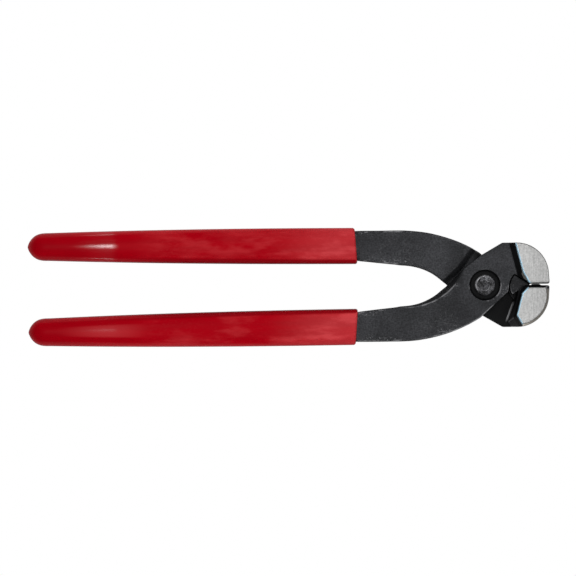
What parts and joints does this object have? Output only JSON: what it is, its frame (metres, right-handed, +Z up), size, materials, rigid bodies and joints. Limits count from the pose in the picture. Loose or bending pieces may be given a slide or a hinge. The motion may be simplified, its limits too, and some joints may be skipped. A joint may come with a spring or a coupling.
{
  "type": "grozing pliers",
  "caption": "Pincer-form grozing pliers: forged levers on a flush rivet, short wide flat-lipped jaws, a stop that keeps the lips just apart, dipped grips.",
  "frame": {"origin": "centre of the tool's outline in plan, on the plane of the ground side faces it lies on", "axes": "+X along the tool to the jaws, +Y across the handles from the lower jaw to the upper jaw, +Z up along the rivet"},
  "size_m": [0.22, 0.0498, 0.022],
  "materials": {
    "black_forging": "blackened forged steel, satin and lightly scratched, with the jaws' side faces ground bright",
    "rivet_steel": "blackened steel, hammered flush",
    "red_vinyl": "glossy dipped vinyl"
  },
  "bodies": {
    "lower_lever": {"lower_jaw_lever": "black_forging", "pivot_rivet": "rivet_steel", "lower_lever_grip": "red_vinyl"},
    "upper_lever": {"upper_jaw_lever": "black_forging", "upper_lever_grip": "red_vinyl"}
  },
  "joints": [
    {"name": "handle_pivot", "type": "hinge", "parent": "lower_lever", "child": "upper_lever", "pos_m": [0.0829, 0, 0.011], "axis": [0, 0, 1], "range_deg": [0, 20]}
  ]
}
